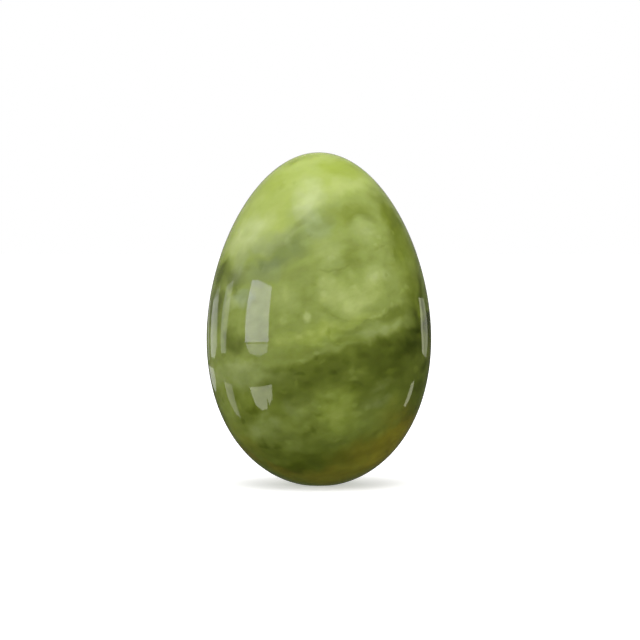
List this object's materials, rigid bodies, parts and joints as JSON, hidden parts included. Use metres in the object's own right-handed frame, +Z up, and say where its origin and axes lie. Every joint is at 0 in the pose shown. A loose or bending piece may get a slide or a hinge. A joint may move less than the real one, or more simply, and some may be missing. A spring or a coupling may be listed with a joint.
{
  "type": "polished stone egg",
  "caption": "Solid egg of cloudy green polished stone that stands upright on a small flat ground into its broad end.",
  "frame": {"origin": "middle of the small ground flat that the egg stands on", "axes": "+Z up along the egg's own axis, from the flat at the broad end to the pointed end. The egg is round about +Z, and -Y is the side that the picture shows"},
  "size_m": [0.0406, 0.0406, 0.06],
  "materials": {
    "green_stone": "polished"
  },
  "bodies": {
    "root": {"stone_egg": "green_stone"}
  },
  "joints": []
}
